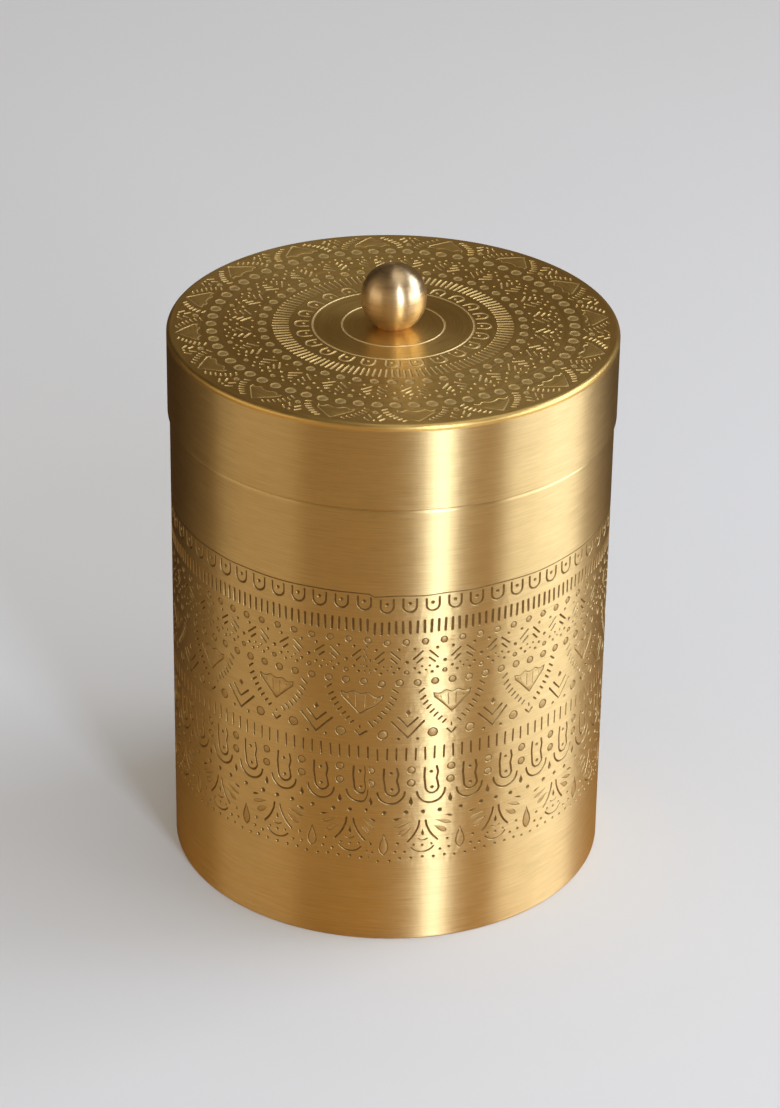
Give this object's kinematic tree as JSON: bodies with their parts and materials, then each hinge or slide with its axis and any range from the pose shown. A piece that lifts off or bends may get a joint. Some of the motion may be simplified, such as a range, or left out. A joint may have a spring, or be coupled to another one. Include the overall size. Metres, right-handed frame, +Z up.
{
  "type": "cookie tin",
  "caption": "Round brass cookie tin: straight etched body with a flat base and a neck, under a lift-off etched lid with a ball knob.",
  "frame": {"origin": "centre of the resting plane, under the middle of the base", "axes": "+Z up along the tin's axis of revolution; +X and +Y horizontal; -Y is the front the picture looks at"},
  "size_m": [0.105, 0.105, 0.1508],
  "materials": {
    "brushed_brass": "satin, brushed round the axis",
    "plain_brass": "plain mill finish",
    "etched_plate": "satin, turned, with etched ornament",
    "knob_brass": "fine satin, turned",
    "fastener_steel": "zinc plated"
  },
  "bodies": {
    "tin_body": {"body_shell": "brushed_brass", "base_disc": "plain_brass", "neck_collar": "plain_brass"},
    "lid": {"lid_plate": "etched_plate", "lid_skirt": "brushed_brass", "knob": "knob_brass", "knob_washer": "fastener_steel", "knob_screw": "fastener_steel"}
  },
  "joints": [
    {"name": "lid_lift", "type": "slide", "parent": "tin_body", "child": "lid", "axis": [0, 0, 1], "range_m": [0, 0.06]}
  ]
}
